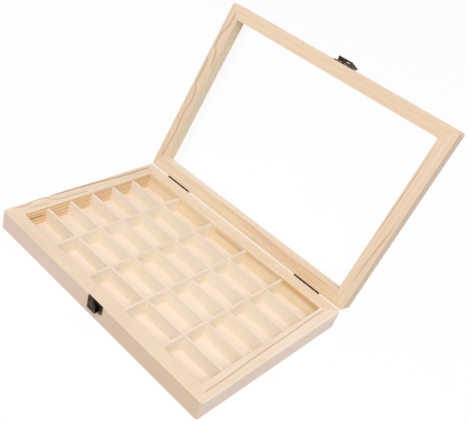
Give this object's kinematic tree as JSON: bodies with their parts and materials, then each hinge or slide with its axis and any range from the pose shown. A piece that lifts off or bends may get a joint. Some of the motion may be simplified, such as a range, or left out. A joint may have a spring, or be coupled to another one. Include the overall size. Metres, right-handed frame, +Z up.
{
  "type": "film cassette display case",
  "caption": "Shallow wooden display case with a grid of small compartments under a hinged, glazed lid held by a small metal latch.",
  "frame": {"origin": "centre of the base's underside, on the surface that the case stands on", "axes": "+X along the hinge side towards the right as seen from the front, +Y towards the hinges, +Z up"},
  "size_m": [0.3, 0.3178, 0.2283],
  "materials": {
    "pine": "sanded bare pine",
    "plywood": "sanded bare plywood",
    "bronze": "antique bronze plating",
    "clear_pane": "clear polished pane"
  },
  "bodies": {
    "base": {"base_front_wall": "pine", "base_back_wall": "pine", "base_left_wall": "pine", "base_right_wall": "pine", "base_floor": "plywood", "row_divider_1": "plywood", "row_divider_2": "plywood", "row_divider_3": "plywood", "row_divider_4": "plywood", "row_divider_5": "plywood", "column_divider_1": "plywood", "column_divider_2": "plywood", "column_divider_3": "plywood", "column_divider_4": "plywood", "hinge_base_leaf_left": "bronze", "hinge_base_leaf_right": "bronze", "hinge_pin_left": "bronze", "hinge_pin_right": "bronze", "hinge_base_nails": "bronze", "latch_keeper": "bronze", "latch_keeper_nails": "bronze"},
    "lid": {"lid_front_rail": "pine", "lid_back_rail": "pine", "lid_left_stile": "pine", "lid_right_stile": "pine", "lid_pane": "clear_pane", "lid_bead_front": "pine", "lid_bead_back": "pine", "lid_bead_left": "pine", "lid_bead_right": "pine", "hinge_lid_leaf_left": "bronze", "hinge_lid_leaf_right": "bronze", "hinge_lid_nails": "bronze", "latch_plate": "bronze", "latch_plate_nails": "bronze", "latch_pin": "bronze"},
    "latch_lever": {"latch_lever": "bronze"}
  },
  "joints": [
    {"name": "lid_hinge", "type": "hinge", "parent": "base", "child": "lid", "pos_m": [0, 0.1074, 0.02215], "axis": [1, 0, 0], "range_deg": [0, 109.6]},
    {"name": "latch_hinge", "type": "hinge", "parent": "lid", "child": "latch_lever", "pos_m": [0.006, 0.18575, 0.22683], "axis": [1, 0, 0], "range_deg": [0, 190.7]}
  ]
}
